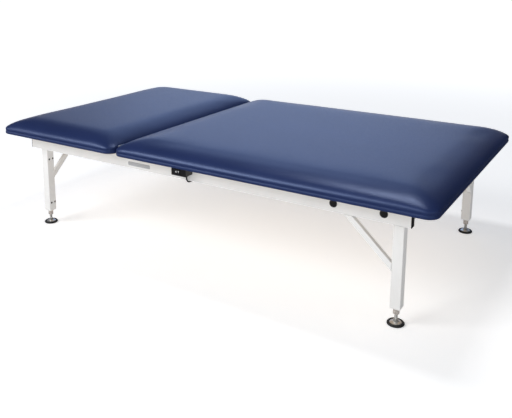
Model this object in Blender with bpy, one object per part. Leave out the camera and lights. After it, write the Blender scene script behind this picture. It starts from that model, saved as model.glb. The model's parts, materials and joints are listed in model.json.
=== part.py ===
"""Examination and treatment table with a powered backrest, standing on four levelling feet.

Metres, +Z up. The origin is on the floor under the middle of the upholstered top.
+X runs from the head end to the foot end, and -Y is the side with the hand switch.
"""
import math

import bmesh
import bpy
from mathutils import Matrix, Vector

# Top
TOP_LENGTH = 2.134
TOP_WIDTH = 1.219
TOP_HEIGHT = 0.526
DECK_BOTTOM = 0.456
DECK_THICKNESS = 0.013
DECK_INSET = 0.003
CUSHION_GAP = 0.010
CUSHION_CORNER = 0.045
DECK_CORNER = CUSHION_CORNER - DECK_INSET
GAP = 0.0003

# Backrest hinge, in the gap between the cushions
HINGE_X = -0.341
HINGE_Z = 0.484
KNUCKLE_RADIUS = 0.0045
HINGE_PIN_RADIUS = 0.0022
HINGE_LENGTH = 1.120
HINGE_PIN_END = 0.002
KNUCKLES = 9
LEAF_THICKNESS = 0.0015
LEAF_FACE = 0.0027
DECK_TO_HINGE = 0.0048
FRAME_TO_HINGE = 0.006

# Frame of rectangular tube
FRAME_WIDTH = 1.042
RAIL_DEPTH = 0.028
RAIL_BOTTOM = 0.380
RAIL_TOP = DECK_BOTTOM - GAP
RAIL_WALL = 0.002
TUBE_RADIUS = 0.0025
RAIL_HEAD_X = -0.952
RAIL_FOOT_X = 0.958
END_RAIL_OUTSIDE_LEG = 0.008
CROSS_MEMBER_BOTTOM = 0.401
CROSS_MEMBER_DEPTH = 0.040
FOOT_CROSS_MEMBER_X = 0.310
PLUG_RIM = 0.003
PLUG_SHANK = 0.022
HOLE_PLUGS = {"hole_plug_inner": 0.668, "hole_plug_outer": 0.860}
HOLE_PLUG_Z = 0.413

# Legs, braces and levelling feet
LEG_SIZE = 0.040
LEG_WALL = 0.0025
LEG_TOE = 0.005
LEG_BOTTOM = 0.063
LEG_HEAD_X = -0.868
LEG_FOOT_X = 0.916
BRACE_DEPTH = 0.020
BRACE_LOW = 0.206
BRACE_HIGH = 0.237
BRACE_REACH_IN = 0.154
BRACE_REACH_OUT = 0.186
NUT_BOTTOM = 0.041
NUT_ACROSS_FLATS = 0.021
STUD_RADIUS = 0.006
STUD_BOTTOM = 0.0123
STUD_TOP = 0.112
PAD_RADIUS = 0.032
PAD_HEIGHT = 0.010

# Backrest frame
ARM_Y = 0.250
ARM_SIZE = 0.025
ARM_WALL = 0.002
ARM_HEAD_X = -0.858
CROSSBAR_X = -0.7185

# Actuator, drawn from its pivot towards the head end
PIVOT = Vector((HINGE_X - 0.045, 0.0, HINGE_Z - 0.075))
ROD_PIN = Vector((HINGE_X - 0.345, 0.0, HINGE_Z - 0.064))
PIN_RADIUS = 0.005
SLOT_PLAY = 0.0023
SLOT_TRAVEL = 0.0172
ROD_RADIUS = 0.010

# Controls
SWITCH_LOW = Vector((-0.042, -0.5703, 0.411))
SWITCH_HIGH = Vector((0.032, -0.5213, 0.4555))
SWITCH_WALL = 0.0025
ROCKER_X = -0.009
ROCKER_Z = 0.4300
ROCKER_PIVOT_DEPTH = 0.004
ROCKER_WIDTH = 0.025
ROCKER_HEIGHT = 0.019
OPENING_PLAY = 0.0006
CONTROL_LOW = Vector((-0.110, -0.405, 0.396))
CONTROL_HIGH = Vector((0.060, -0.285, RAIL_TOP))
INLET_LOW_Z = 0.412
INLET_HIGH_Z = 0.440
INLET_DEPTH = 0.014
INLET_HALF_WIDTH = 0.024
CABLE_RADIUS = 0.0033

ENDS = {"head": LEG_HEAD_X, "foot": LEG_FOOT_X}
SIDES = {"front": -1, "rear": 1}


def clear_scene():
    for item in list(bpy.data.objects):
        bpy.data.objects.remove(item, do_unlink=True)


def make_material(name, colour, roughness, metallic=0.0):
    material = bpy.data.materials.new(name)
    material.use_nodes = True
    shader = material.node_tree.nodes["Principled BSDF"]
    shader.inputs["Base Color"].default_value = (*colour, 1.0)
    shader.inputs["Roughness"].default_value = roughness
    shader.inputs["Metallic"].default_value = metallic
    material.diffuse_color = (*colour, 1.0)
    return material


def add_object(name, mesh_bm, material, smooth=False):
    bmesh.ops.recalc_face_normals(mesh_bm, faces=mesh_bm.faces)
    mesh = bpy.data.meshes.new(name)
    mesh_bm.to_mesh(mesh)
    mesh_bm.free()
    item = bpy.data.objects.new(name, mesh)
    bpy.context.collection.objects.link(item)
    if material is not None:
        mesh.materials.append(material)
    if smooth:
        mesh.shade_smooth()
        mesh.set_sharp_from_angle(angle=math.radians(35))
    return item


def box_bm(low, high):
    mesh_bm = bmesh.new()
    low, high = Vector(low), Vector(high)
    size = high - low
    matrix = Matrix.Translation((low + high) / 2) @ Matrix.Diagonal((*size, 1.0))
    bmesh.ops.create_cube(mesh_bm, size=1.0, matrix=matrix)
    return mesh_bm


def axis_matrix(start, end):
    """Matrix that puts a shape centred on the origin along +Z between two points."""
    start, end = Vector(start), Vector(end)
    turn = (end - start).to_track_quat("Z", "Y").to_matrix().to_4x4()
    return Matrix.Translation((start + end) / 2) @ turn


def cylinder_bm(start, end, radius, segments=24, end_radius=None):
    mesh_bm = bmesh.new()
    depth = (Vector(end) - Vector(start)).length
    bmesh.ops.create_cone(mesh_bm, cap_ends=True, segments=segments, radius1=radius,
                          radius2=radius if end_radius is None else end_radius,
                          depth=depth, matrix=axis_matrix(start, end))
    return mesh_bm


def prism_bm(points, offset):
    """Extrude a flat outline of 3-D points along an offset."""
    mesh_bm = bmesh.new()
    bottom = mesh_bm.faces.new([mesh_bm.verts.new(point) for point in points])
    side = bmesh.ops.extrude_face_region(mesh_bm, geom=[bottom])
    moved = [v for v in side["geom"] if isinstance(v, bmesh.types.BMVert)]
    bmesh.ops.translate(mesh_bm, verts=moved, vec=offset)
    return mesh_bm


def turned_bm(profile, centre, segments=32):
    """Closed turned solid about +Z; the profile's first and last points lie on the axis."""
    mesh_bm = bmesh.new()
    rings = []
    for radius, height in profile:
        if radius == 0:
            rings.append([mesh_bm.verts.new((centre[0], centre[1], height))])
            continue
        ring = []
        for step in range(segments):
            angle = 2 * math.pi * step / segments
            ring.append(mesh_bm.verts.new((centre[0] + radius * math.cos(angle),
                                           centre[1] + radius * math.sin(angle), height)))
        rings.append(ring)
    for low, high in zip(rings, rings[1:]):
        for step in range(segments):
            after = (step + 1) % segments
            corners = [low[step % len(low)], low[after % len(low)],
                       high[after % len(high)], high[step % len(high)]]
            unique = list(dict.fromkeys(corners))
            mesh_bm.faces.new(unique)
    return mesh_bm


def cutter(name, mesh_bm):
    item = add_object(name, mesh_bm, None)
    item.hide_render = True
    item.display_type = "WIRE"
    return item


def boolean(item, other, operation="DIFFERENCE"):
    modifier = item.modifiers.new(other.name, "BOOLEAN")
    modifier.operation = operation
    modifier.solver = "EXACT"
    modifier.object = other


def soften(item, width, segments=2, angle=40):
    modifier = item.modifiers.new("edge radius", "BEVEL")
    modifier.width = width
    modifier.segments = segments
    modifier.limit_method = "ANGLE"
    modifier.angle_limit = math.radians(angle)


def round_long_edges(mesh_bm, length, radius):
    """Bevel every edge longer than a length, which are a tube's own edges."""
    long_edges = [edge for edge in mesh_bm.edges if edge.calc_length() > length]
    bmesh.ops.bevel(mesh_bm, geom=long_edges, offset=radius, segments=3, profile=0.5,
                    affect="EDGES", clamp_overlap=True)
    return mesh_bm


def lofted_bm(rings):
    """Closed solid through rings of points with the same count, capped at both ends."""
    mesh_bm = bmesh.new()
    rings = [[mesh_bm.verts.new(point) for point in ring] for ring in rings]
    mesh_bm.faces.new(list(reversed(rings[0])))
    mesh_bm.faces.new(rings[-1])
    for low, high in zip(rings, rings[1:]):
        for index in range(len(low)):
            after = (index + 1) % len(low)
            mesh_bm.faces.new((low[index], low[after], high[after], high[index]))
    return mesh_bm


def hollow_tube(name, low, high, wall, along, material):
    """Rectangular tube, open at both ends along axis 0, 1 or 2."""
    length = abs(high[along] - low[along])
    outer = round_long_edges(box_bm(low, high), 0.9 * length, min(TUBE_RADIUS, wall))
    tube = add_object(name, outer, material)
    inner_low = [value + wall for value in low]
    inner_high = [value - wall for value in high]
    inner_low[along] = low[along] - 0.01
    inner_high[along] = high[along] + 0.01
    boolean(tube, cutter(name + "_bore", box_bm(inner_low, inner_high)))
    return tube


def make_rails(white, black):
    half = FRAME_WIDTH / 2
    for side, sign in SIDES.items():
        inner, outer = sorted((sign * half, sign * (half - RAIL_DEPTH)))
        hollow_tube("side_rail_" + side, (RAIL_HEAD_X, inner, RAIL_BOTTOM),
                    (RAIL_FOOT_X, outer, RAIL_TOP), RAIL_WALL, 0, white)
        for end, face, outward in (("head", RAIL_HEAD_X, -1), ("foot", RAIL_FOOT_X, 1)):
            make_rail_plug(side, end, face, outward, inner, outer, black)
    inside = half - RAIL_DEPTH - GAP
    for end, leg_x, outward in (("head", LEG_HEAD_X, -1), ("foot", LEG_FOOT_X, 1)):
        outer_face = leg_x + outward * (LEG_SIZE / 2 + END_RAIL_OUTSIDE_LEG)
        low_x, high_x = sorted((outer_face, outer_face - outward * RAIL_DEPTH))
        hollow_tube("end_rail_" + end, (low_x, -inside, RAIL_BOTTOM),
                    (high_x, inside, RAIL_TOP), RAIL_WALL, 1, white)
    hinge_member_x = HINGE_X + FRAME_TO_HINGE
    for name, low_x in (("cross_member_hinge", hinge_member_x),
                        ("cross_member_foot", FOOT_CROSS_MEMBER_X)):
        hollow_tube(name, (low_x, -inside, CROSS_MEMBER_BOTTOM),
                    (low_x + CROSS_MEMBER_DEPTH, inside, RAIL_TOP), RAIL_WALL, 1, white)


def make_rail_plug(side, end, face, outward, inner, outer, material):
    """Moulded plug: a thin rim over the rail's end and a shank inside the rail."""
    rim = sorted((face + outward * GAP, face + outward * PLUG_RIM))
    plug = add_object(f"rail_plug_{side}_{end}",
                      box_bm((rim[0], inner, RAIL_BOTTOM), (rim[1], outer, RAIL_TOP)), material)
    soften(plug, PLUG_RIM * 0.3)
    shank = sorted((face + outward * PLUG_RIM * 0.7, face - outward * PLUG_SHANK))
    fit = RAIL_WALL + GAP
    body = cutter(f"rail_plug_shank_{side}_{end}",
                  box_bm((shank[0], inner + fit, RAIL_BOTTOM + fit),
                         (shank[1], outer - fit, RAIL_TOP - fit)))
    boolean(plug, body, "UNION")


def make_leg(end, side, material):
    x, sign = ENDS[end], SIDES[side]
    half = LEG_SIZE / 2
    y = sign * (FRAME_WIDTH / 2 - half)
    top = RAIL_BOTTOM - GAP
    rings = []
    for inset, height in ((LEG_TOE, LEG_BOTTOM), (0.3 * LEG_TOE, LEG_BOTTOM + 0.3 * LEG_TOE),
                          (0.0, LEG_BOTTOM + LEG_TOE), (0.0, top)):
        reach = half - inset
        outline = rounded_outline(x - reach, x + reach, y - reach, y + reach, TUBE_RADIUS, 0.0, 3)
        rings.append([(px, py, height) for px, py in outline])
    leg = add_object(f"leg_{side}_{end}", lofted_bm(rings), material)
    inner = half - LEG_WALL
    cavity = box_bm((x - inner, y - inner, LEG_BOTTOM + 0.006), (x + inner, y + inner, top - 0.003))
    boolean(leg, cutter(f"leg_cavity_{side}_{end}", cavity))
    hole = cylinder_bm((x, y, LEG_BOTTOM - 0.01), (x, y, LEG_BOTTOM + 0.010), 0.0093, 24)
    boolean(leg, cutter(f"leg_hole_{side}_{end}", hole))
    return x, y


def make_brace(end, side, along_x, material):
    """Diagonal tube from a leg up to the rail above it, flush with the leg's outer face."""
    x, sign = ENDS[end], SIDES[side]
    inward_x = 1 if end == "head" else -1
    half = LEG_SIZE / 2
    y = sign * (FRAME_WIDTH / 2 - half)
    top = RAIL_BOTTOM - GAP
    outline = ((GAP, BRACE_LOW), (GAP, BRACE_HIGH), (BRACE_REACH_IN, top), (BRACE_REACH_OUT, top))
    if along_x:
        face = y + sign * half
        points = [(x + inward_x * (half + reach), face, height) for reach, height in outline]
        offset = (0, -sign * BRACE_DEPTH, 0)
    else:
        face = x - inward_x * half
        points = [(face, y - sign * (half + reach), height) for reach, height in outline]
        offset = (inward_x * BRACE_DEPTH, 0, 0)
    brace = round_long_edges(prism_bm(points, offset), BRACE_REACH_IN, 0.8 * TUBE_RADIUS)
    add_object(f"brace_{side}_{end}", brace, material)


def make_foot(end, side, x, y, zinc, rubber):
    """Welded nut, threaded stud, zinc cup and rubber pad of one levelling foot."""
    corner = NUT_ACROSS_FLATS / math.sqrt(3)
    label = f"{side}_{end}"
    nut = add_object("leg_nut_" + label,
                     cylinder_bm((x, y, NUT_BOTTOM), (x, y, LEG_BOTTOM - GAP), corner, 6), zinc)
    neck = cylinder_bm((x, y, LEG_BOTTOM - 0.004), (x, y, LEG_BOTTOM + 0.018), 0.0090, 24)
    boolean(nut, cutter("nut_neck_" + label, neck), "UNION")
    bore = cylinder_bm((x, y, NUT_BOTTOM - 0.01), (x, y, LEG_BOTTOM + 0.030), STUD_RADIUS + GAP, 20)
    boolean(nut, cutter("nut_bore_" + label, bore))
    stud = [(0, STUD_BOTTOM), (0.0045, STUD_BOTTOM), (STUD_RADIUS, STUD_BOTTOM + 0.0015),
            (STUD_RADIUS, STUD_TOP - 0.0015), (0.0045, STUD_TOP), (0, STUD_TOP)]
    add_object("foot_stud_" + label, turned_bm(stud, (x, y), 20), zinc, smooth=True)
    cup = [(0, 0.0063), (0.0222, 0.0063), (0.0222, 0.0080), (0.0200, 0.0090), (0.0115, 0.0100),
           (0.0095, 0.0120), (0.0090, 0.0190), (0.0066, 0.0190), (0.0066, 0.0120), (0, 0.0120)]
    add_object("foot_cup_" + label, turned_bm(cup, (x, y), 28), zinc, smooth=True)
    pad = [(0, 0), (PAD_RADIUS - 0.002, 0), (PAD_RADIUS, 0.002), (PAD_RADIUS, 0.0055),
           (PAD_RADIUS - 0.003, 0.0090), (PAD_RADIUS - 0.0055, PAD_HEIGHT), (0.0235, 0.0085),
           (0.0226, 0.0060), (0, 0.0060)]
    add_object("foot_pad_" + label, turned_bm(pad, (x, y), 28), rubber, smooth=True)


def rounded_outline(low_x, high_x, low_y, high_y, radius, inset, steps=4):
    """Points of a rectangle with round corners, pulled in all round by an inset."""
    corner = max(radius - inset, 0.1 * radius)
    centres = ((high_x - inset - corner, high_y - inset - corner, 0),
               (low_x + inset + corner, high_y - inset - corner, 1),
               (low_x + inset + corner, low_y + inset + corner, 2),
               (high_x - inset - corner, low_y + inset + corner, 3))
    points = []
    for centre_x, centre_y, quarter in centres:
        for step in range(steps + 1):
            angle = math.pi / 2 * (quarter + step / steps)
            points.append((centre_x + corner * math.cos(angle), centre_y + corner * math.sin(angle)))
    return points


def make_cushion(name, low_x, high_x, material):
    """Foam pad in vinyl: straight at the deck, rolled over all round to a flat top."""
    bottom = DECK_BOTTOM + DECK_THICKNESS + GAP
    roll = TOP_HEIGHT - bottom
    half = TOP_WIDTH / 2
    rings = []
    layers = 5
    for layer in range(layers + 1):
        turn = math.pi / 2 * layer / layers
        inset = roll * (1 - math.cos(turn))
        height = bottom + roll * math.sin(turn)
        outline = rounded_outline(low_x, high_x, -half, half, CUSHION_CORNER, inset)
        rings.append([(px, py, height) for px, py in outline])
    add_object(name, lofted_bm(rings), material, smooth=True)


def make_decks_and_cushions(plywood, vinyl):
    half_top = TOP_LENGTH / 2
    half_width = TOP_WIDTH / 2 - DECK_INSET
    spans = {"head": (-half_top, HINGE_X - CUSHION_GAP / 2,
                      -half_top + DECK_INSET, HINGE_X - DECK_TO_HINGE),
             "foot": (HINGE_X + CUSHION_GAP / 2, half_top,
                      HINGE_X + DECK_TO_HINGE, half_top - DECK_INSET)}
    for end, (low, high, deck_low, deck_high) in spans.items():
        outline = rounded_outline(deck_low, deck_high, -half_width, half_width, DECK_CORNER, 0.0)
        points = [(px, py, DECK_BOTTOM) for px, py in outline]
        add_object("deck_" + end, prism_bm(points, (0, 0, DECK_THICKNESS)), plywood)
        make_cushion("cushion_" + end, low, high, vinyl)


def make_hinge(steel):
    """Continuous hinge: leaves on the decks' facing edges, knuckles in the gap above them."""
    half = HINGE_LENGTH / 2
    pin_ends = [(HINGE_X, sign * (half + HINGE_PIN_END), HINGE_Z) for sign in (-1, 1)]
    add_object("hinge_pin", cylinder_bm(*pin_ends, HINGE_PIN_RADIUS, 12), steel, smooth=True)
    make_hinge_leaf("hinge_leaf_moving", -1, range(0, KNUCKLES, 2), steel)
    make_hinge_leaf("hinge_leaf_fixed", 1, range(1, KNUCKLES, 2), steel)


def make_hinge_leaf(name, sign, places, steel):
    """Comb-shaped plate whose tabs run up into its own knuckles."""
    half = HINGE_LENGTH / 2
    pitch = HINGE_LENGTH / KNUCKLES
    low, notch, tab = DECK_BOTTOM + 0.001, HINGE_Z - 0.0057, HINGE_Z - 0.0012
    outline = [(-half, low)]
    knuckles = bmesh.new()
    for index in range(KNUCKLES):
        start = -half + index * pitch + GAP
        end = start + pitch - 2 * GAP
        height = tab if index in places else notch
        margin = 0.0006 if index in places else -0.0009
        outline += [(max(start + margin, -half), height), (min(end - margin, half), height)]
        if index in places:
            matrix = axis_matrix((HINGE_X, start, HINGE_Z), (HINGE_X, end, HINGE_Z))
            bmesh.ops.create_cone(knuckles, cap_ends=True, segments=16, radius1=KNUCKLE_RADIUS,
                                  radius2=KNUCKLE_RADIUS, depth=end - start, matrix=matrix)
    outline.append((half, low))
    face = HINGE_X + sign * LEAF_FACE
    points = [(face, py, pz) for py, pz in outline]
    leaf = add_object(name, prism_bm(points, (sign * LEAF_THICKNESS, 0, 0)), steel)
    boolean(leaf, cutter(name + "_knuckles", knuckles), "UNION")
    reach = half + 0.02
    bore = cylinder_bm((HINGE_X, -reach, HINGE_Z), (HINGE_X, reach, HINGE_Z),
                       HINGE_PIN_RADIUS + GAP, 12)
    boolean(leaf, cutter(name + "_bore", bore))


def make_backrest_frame(white):
    top = DECK_BOTTOM - GAP
    half = ARM_SIZE / 2
    for side, sign in SIDES.items():
        centre = sign * ARM_Y
        hollow_tube("backrest_arm_" + side, (ARM_HEAD_X, centre - half, top - ARM_SIZE),
                    (HINGE_X - FRAME_TO_HINGE, centre + half, top), ARM_WALL, 0, white)
    inside = ARM_Y - half - GAP
    hollow_tube("backrest_crossbar", (CROSSBAR_X - half, -inside, top - ARM_SIZE),
                (CROSSBAR_X + half, inside, top), ARM_WALL, 1, white)


def along_actuator(distance, drop=0.0, side=0.0):
    """Point at a distance from the pivot towards the rod's pin, dropped square to the actuator."""
    line = (ROD_PIN - PIVOT).normalized()
    down = Vector((line.z, 0.0, -line.x)) * (1 if line.x < 0 else -1)
    down = down if down.z < 0 else -down
    return PIVOT + line * distance + down * drop + Vector((0.0, side, 0.0))


def actuator_block(start, end, top, bottom, half_width):
    """Box drawn along the actuator's own line."""
    outline = [along_actuator(start, -top, -half_width), along_actuator(end, -top, -half_width),
               along_actuator(end, bottom, -half_width), along_actuator(start, bottom, -half_width)]
    return prism_bm(outline, (0, 2 * half_width, 0))


def make_actuator(white, plastic, steel):
    make_actuator_lug(white)
    pin_ends = (PIVOT + Vector((0, -0.034, 0)), PIVOT + Vector((0, 0.034, 0)))
    add_object("actuator_pivot_pin", cylinder_bm(*pin_ends, PIN_RADIUS, 20), steel, smooth=True)
    housing = add_object("actuator_housing", actuator_block(-0.018, 0.130, 0.022, 0.034, 0.040),
                         plastic)
    soften(housing, 0.006)
    slot = actuator_block(-0.05, 0.022, 0.05, 0.06, 0.0125)
    boolean(housing, cutter("housing_fork_slot", slot))
    hole_ends = (PIVOT + Vector((0, -0.0345, 0)), PIVOT + Vector((0, 0.0345, 0)))
    boolean(housing, cutter("housing_pin_hole", cylinder_bm(*hole_ends, PIN_RADIUS + GAP, 20)))
    boss = cylinder_bm(PIVOT + Vector((0, -0.038, 0)), PIVOT + Vector((0, -0.058, 0)), 0.009, 16, 0.0055)
    boolean(housing, cutter("housing_cable_boss", boss), "UNION")
    socket = cylinder_bm(along_actuator(0.112), along_actuator(0.140), 0.0183, 24)
    boolean(housing, cutter("housing_tube_socket", socket))
    motor = cylinder_bm(along_actuator(0.016, 0.063), along_actuator(0.126, 0.063), 0.0285, 28)
    motor_item = add_object("actuator_motor", motor, plastic, smooth=True)
    soften(motor_item, 0.004)
    tube = add_object("actuator_tube",
                      cylinder_bm(along_actuator(0.1125), along_actuator(0.262), 0.018, 24),
                      steel, smooth=True)
    bore = cylinder_bm(along_actuator(0.118), along_actuator(0.30), ROD_RADIUS + 0.0006, 24)
    boolean(tube, cutter("tube_bore", bore))
    make_actuator_rod(steel)


def make_actuator_lug(white):
    """Plate on the hinge cross member that carries the actuator's pivot pin."""
    face = HINGE_X + FRAME_TO_HINGE - GAP
    half = 0.012
    radius = 0.016
    outline = [(face, PIVOT.z + 0.018), (PIVOT.x, PIVOT.z + radius)]
    for step in range(1, 9):
        angle = math.pi / 2 + math.pi * step / 9
        outline.append((PIVOT.x + radius * math.cos(angle), PIVOT.z + radius * math.sin(angle)))
    outline += [(PIVOT.x, PIVOT.z - radius), (face, CROSS_MEMBER_BOTTOM + 0.001)]
    points = [(px, -half, pz) for px, pz in outline]
    lug = add_object("actuator_lug", prism_bm(points, (0, 2 * half, 0)), white)
    hole_ends = (PIVOT + Vector((0, -0.02, 0)), PIVOT + Vector((0, 0.02, 0)))
    boolean(lug, cutter("lug_hole", cylinder_bm(*hole_ends, PIN_RADIUS + GAP, 20)))


def make_actuator_rod(steel):
    rod = add_object("actuator_rod",
                     cylinder_bm(along_actuator(0.135), along_actuator(0.268), ROD_RADIUS, 20),
                     steel, smooth=True)
    reach = (ROD_PIN - PIVOT).length
    tang = actuator_block(0.262, reach, 0.0085, 0.0085, 0.006)
    boolean(rod, cutter("rod_tang", tang), "UNION")
    eye = cylinder_bm(ROD_PIN + Vector((0, -0.006, 0)), ROD_PIN + Vector((0, 0.006, 0)), 0.0115, 24)
    boolean(rod, cutter("rod_eye", eye), "UNION")
    hole = cylinder_bm(ROD_PIN + Vector((0, -0.02, 0)), ROD_PIN + Vector((0, 0.02, 0)),
                       PIN_RADIUS + GAP, 20)
    boolean(rod, cutter("rod_eye_hole", hole))
    pin_ends = (ROD_PIN + Vector((0, -0.0165, 0)), ROD_PIN + Vector((0, 0.0165, 0)))
    add_object("rod_pin", cylinder_bm(*pin_ends, PIN_RADIUS, 20), steel, smooth=True)


def make_rod_bracket(white):
    """U bracket under the backrest, with an upright slot in each cheek for the rod's pin."""
    back = CROSSBAR_X + ARM_SIZE / 2 + GAP
    front = ROD_PIN.x + 0.018
    low = ROD_PIN.z - SLOT_TRAVEL - 0.016
    high = DECK_BOTTOM - 2 * GAP
    bracket = add_object("rod_bracket", box_bm((back, -0.0115, low), (front, 0.0115, high)), white)
    boolean(bracket, cutter("bracket_gap", box_bm((back + 0.004, -0.0075, low - 0.01),
                                                  (front + 0.01, 0.0075, high + 0.01))))
    wide = PIN_RADIUS + SLOT_PLAY
    tall = PIN_RADIUS + 0.0008
    outline = []
    for step in range(9):
        angle = math.pi * step / 8
        outline.append((ROD_PIN.x + wide * math.cos(angle), ROD_PIN.z + tall * math.sin(angle)))
    for step in range(9):
        angle = math.pi + math.pi * step / 8
        outline.append((ROD_PIN.x + wide * math.cos(angle),
                        ROD_PIN.z - SLOT_TRAVEL + tall * math.sin(angle)))
    slot = prism_bm([(px, -0.02, pz) for px, pz in outline], (0, 0.04, 0))
    boolean(bracket, cutter("bracket_slot", slot))


def make_switch(black):
    housing = add_object("switch_housing", box_bm(SWITCH_LOW, SWITCH_HIGH), black)
    soften(housing, 0.002)
    wall = SWITCH_WALL
    inner = box_bm(SWITCH_LOW + Vector((wall, wall, wall)), SWITCH_HIGH + Vector((-wall, 0.01, -wall)))
    boolean(housing, cutter("switch_hollow", inner))
    reach_x = ROCKER_WIDTH / 2 + OPENING_PLAY
    reach_z = ROCKER_HEIGHT / 2 + OPENING_PLAY
    window = box_bm((ROCKER_X - reach_x, SWITCH_LOW.y - 0.01, ROCKER_Z - reach_z),
                    (ROCKER_X + reach_x, SWITCH_LOW.y + 0.01, ROCKER_Z + reach_z))
    boolean(housing, cutter("switch_window", window))
    exit_x, exit_y = SWITCH_CABLE[0][0], SWITCH_CABLE[0][1]
    hole = cylinder_bm((exit_x, exit_y, SWITCH_LOW.z - 0.01), (exit_x, exit_y, SWITCH_LOW.z + 0.01),
                       CABLE_RADIUS + OPENING_PLAY, 16)
    boolean(housing, cutter("switch_cable_hole", hole))
    half = ROCKER_WIDTH / 2
    front = SWITCH_LOW.y
    outline = [(ROCKER_X - half, front - 0.0035), (ROCKER_X, front - 0.0012),
               (ROCKER_X + half, front - 0.0035), (ROCKER_X + half - 0.0012, front + 0.0060),
               (ROCKER_X + 0.004, front + 0.0110), (ROCKER_X - 0.004, front + 0.0110),
               (ROCKER_X - half + 0.0012, front + 0.0060)]
    points = [(px, py, ROCKER_Z - ROCKER_HEIGHT / 2) for px, py in outline]
    add_object("switch_rocker", prism_bm(points, (0, 0, ROCKER_HEIGHT)), black)


def make_control_box(grey, black):
    box = add_object("control_box", box_bm(CONTROL_LOW, CONTROL_HIGH), grey)
    soften(box, 0.003)
    inlet_y = (CONTROL_LOW.y + CONTROL_HIGH.y) / 2
    low = (CONTROL_HIGH.x + GAP, inlet_y - INLET_HALF_WIDTH, INLET_LOW_Z)
    high = (CONTROL_HIGH.x + INLET_DEPTH, inlet_y + INLET_HALF_WIDTH, INLET_HIGH_Z)
    inlet = add_object("mains_inlet", box_bm(low, high), black)
    recess = box_bm((low[0] + 0.003, low[1] + 0.010, low[2] + 0.005),
                    (high[0] + 0.01, high[1] - 0.010, high[2] - 0.005))
    boolean(inlet, cutter("inlet_recess", recess))


# The switch lead leaves the housing's underside close to the side rail, bends tightly below the
# rail and rises to the control box. The motor lead starts at the actuator's pivot and passes below the cross member.
SWITCH_CABLE = ((0.0100, -0.5330, 0.4190), (0.0100, -0.5330, 0.4060), (0.0100, -0.5329, 0.3930),
                (0.0102, -0.5306, 0.3835), (0.0108, -0.5240, 0.3769), (0.0116, -0.5150, 0.3745),
                (0.0128, -0.5000, 0.3742), (0.0143, -0.4860, 0.3762), (0.0162, -0.4740, 0.3830),
                (0.0180, -0.4650, 0.3950), (0.0194, -0.4540, 0.4075), (0.0200, -0.4410, 0.4150),
                (0.0200, -0.4280, 0.4178), (0.0200, -0.4200, 0.4180),
                (0.0200, CONTROL_LOW.y - 2 * GAP, 0.4180))
MOTOR_CABLE = ((PIVOT.x, -0.0586, PIVOT.z), (PIVOT.x, -0.0900, PIVOT.z),
               (PIVOT.x + 0.006, -0.1300, PIVOT.z - 0.014), (PIVOT.x + 0.030, -0.1800, 0.3840),
               (PIVOT.x + 0.075, -0.2400, 0.3800), (PIVOT.x + 0.125, -0.3000, 0.3810),
               (PIVOT.x + 0.165, -0.3300, 0.3900), (PIVOT.x + 0.205, -0.3450, 0.4080),
               (PIVOT.x + 0.235, -0.3500, 0.4155), (PIVOT.x + 0.255, -0.3500, 0.4160),
               (CONTROL_LOW.x - 2 * GAP, -0.3500, 0.4160))


def smooth_route(points, spacing):
    """Catmull-Rom curve through the route's points, read off at an even spacing."""
    points = [Vector(point) for point in points]
    padded = [2 * points[0] - points[1], *points, 2 * points[-1] - points[-2]]
    dense = []
    for before, start, end, after in zip(padded, padded[1:], padded[2:], padded[3:]):
        for step in range(20):
            t = step / 20
            dense.append(0.5 * ((2 * start) + (end - before) * t
                                + (2 * before - 5 * start + 4 * end - after) * t ** 2
                                + (3 * start - before - 3 * end + after) * t ** 3))
    dense.append(points[-1])
    lengths = [0.0]
    for previous, current in zip(dense, dense[1:]):
        lengths.append(lengths[-1] + (current - previous).length)
    count = max(4, round(lengths[-1] / spacing))
    route = []
    index = 0
    for step in range(count + 1):
        target = lengths[-1] * step / count
        while index < len(lengths) - 2 and lengths[index + 1] < target:
            index += 1
        share = (target - lengths[index]) / (lengths[index + 1] - lengths[index])
        route.append(dense[index].lerp(dense[index + 1], share))
    return route


def make_cable(name, points, material):
    route = smooth_route(points, 3 * CABLE_RADIUS)
    curve = bpy.data.curves.new(name, "CURVE")
    curve.dimensions = "3D"
    curve.bevel_depth = CABLE_RADIUS
    curve.bevel_resolution = 2
    curve.use_fill_caps = True
    spline = curve.splines.new("POLY")
    spline.points.add(len(route) - 1)
    for point, place in zip(spline.points, route):
        point.co = (*place, 1.0)
    curve.materials.append(material)
    item = bpy.data.objects.new(name, curve)
    bpy.context.collection.objects.link(item)


def make_hole_plugs(black):
    """Domed plugs in the holes of the front rail near the foot end."""
    face = -FRAME_WIDTH / 2
    for name, x in HOLE_PLUGS.items():
        profile = [(0.0, 0.0050), (0.0050, 0.0048), (0.0100, 0.0040), (0.0140, 0.0024),
                   (0.0155, 0.0003), (0.0, 0.0003)]
        mesh_bm = turned_bm(profile, (0.0, 0.0), 28)
        turn = Matrix.Translation((x, face, HOLE_PLUG_Z)) @ Matrix.Rotation(math.pi / 2, 4, "X")
        bmesh.ops.transform(mesh_bm, matrix=turn, verts=mesh_bm.verts)
        add_object(name, mesh_bm, black, smooth=True)


def make_joint(name, position, children):
    """Empty on a joint's axis, carrying the pieces that move with it."""
    pivot = bpy.data.objects.new(name, None)
    pivot.location = position
    pivot.empty_display_size = 0.05
    bpy.context.collection.objects.link(pivot)
    for child in children:
        item = bpy.data.objects[child]
        item.parent = pivot
        item.matrix_parent_inverse = Matrix.Translation(position).inverted()


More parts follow.
